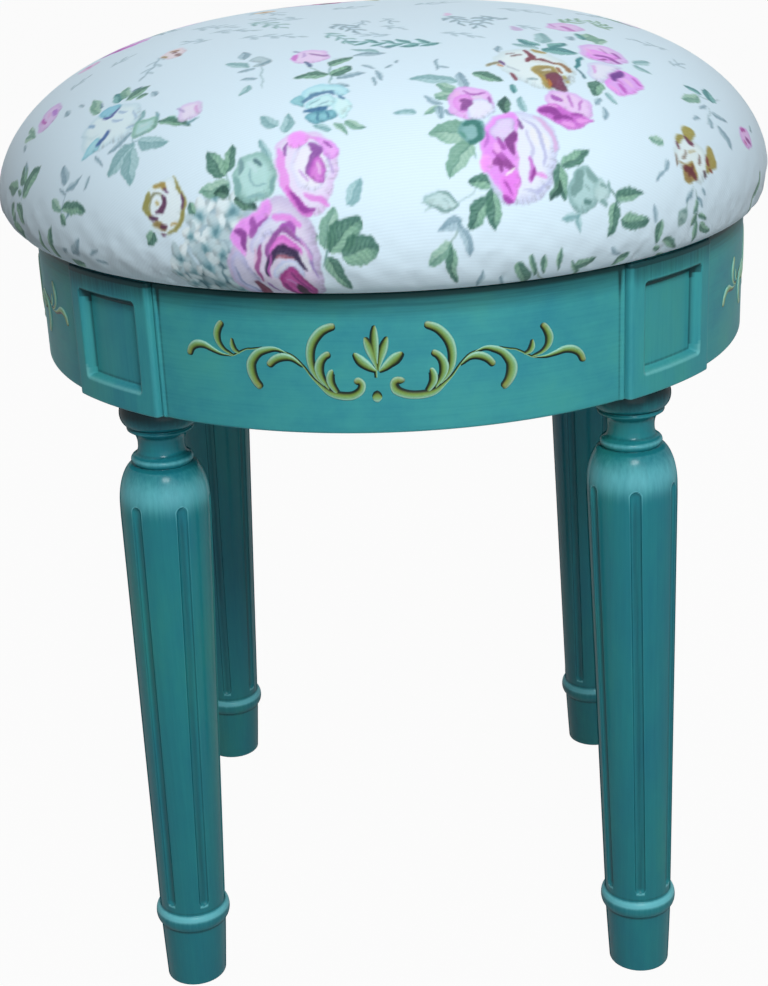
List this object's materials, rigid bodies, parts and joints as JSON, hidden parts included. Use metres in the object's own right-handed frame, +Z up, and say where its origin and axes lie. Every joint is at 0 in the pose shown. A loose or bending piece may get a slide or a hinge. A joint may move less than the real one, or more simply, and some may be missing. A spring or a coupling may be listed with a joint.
{
  "type": "vanity stool",
  "caption": "Round vanity stool with a domed floral cushion, a curved painted apron with corner blocks, and turned fluted legs that splay slightly.",
  "frame": {"origin": "on the floor, under the middle of the seat", "axes": "+Z up along the stool's axis of symmetry; -Y towards the front, where a curved rail faces the viewer; the legs stand on the diagonals"},
  "size_m": [0.385, 0.385, 0.48],
  "materials": {
    "cover_cloth": "printed cotton twill",
    "seat_foam": "open-cell foam",
    "plywood": "sanded",
    "dust_cloth": "non-woven",
    "teal_paint": "hand-painted, satin",
    "zinc_steel": "zinc plated",
    "beech": "plain",
    "glide_nylon": "moulded"
  },
  "bodies": {
    "root": {"seat_cover": "cover_cloth", "foam_pad": "seat_foam", "seat_board": "plywood", "dust_cover": "dust_cloth", "apron_rail_right": "teal_paint", "apron_rail_back": "teal_paint", "apron_rail_left": "teal_paint", "apron_rail_front": "teal_paint", "corner_block_back_right": "teal_paint", "leg_back_right": "teal_paint", "hanger_bolt_back_right": "zinc_steel", "threaded_insert_back_right": "zinc_steel", "foot_glide_back_right": "glide_nylon", "seat_screw_back_right": "zinc_steel", "dowel_back_right_a_lower": "beech", "dowel_back_right_a_upper": "beech", "dowel_back_right_b_lower": "beech", "dowel_back_right_b_upper": "beech", "corner_block_back_left": "teal_paint", "leg_back_left": "teal_paint", "hanger_bolt_back_left": "zinc_steel", "threaded_insert_back_left": "zinc_steel", "foot_glide_back_left": "glide_nylon", "seat_screw_back_left": "zinc_steel", "dowel_back_left_a_lower": "beech", "dowel_back_left_a_upper": "beech", "dowel_back_left_b_lower": "beech", "dowel_back_left_b_upper": "beech", "corner_block_front_left": "teal_paint", "leg_front_left": "teal_paint", "hanger_bolt_front_left": "zinc_steel", "threaded_insert_front_left": "zinc_steel", "foot_glide_front_left": "glide_nylon", "seat_screw_front_left": "zinc_steel", "dowel_front_left_a_lower": "beech", "dowel_front_left_a_upper": "beech", "dowel_front_left_b_lower": "beech", "dowel_front_left_b_upper": "beech", "corner_block_front_right": "teal_paint", "leg_front_right": "teal_paint", "hanger_bolt_front_right": "zinc_steel", "threaded_insert_front_right": "zinc_steel", "foot_glide_front_right": "glide_nylon", "seat_screw_front_right": "zinc_steel", "dowel_front_right_a_lower": "beech", "dowel_front_right_a_upper": "beech", "dowel_front_right_b_lower": "beech", "dowel_front_right_b_upper": "beech"}
  },
  "joints": []
}
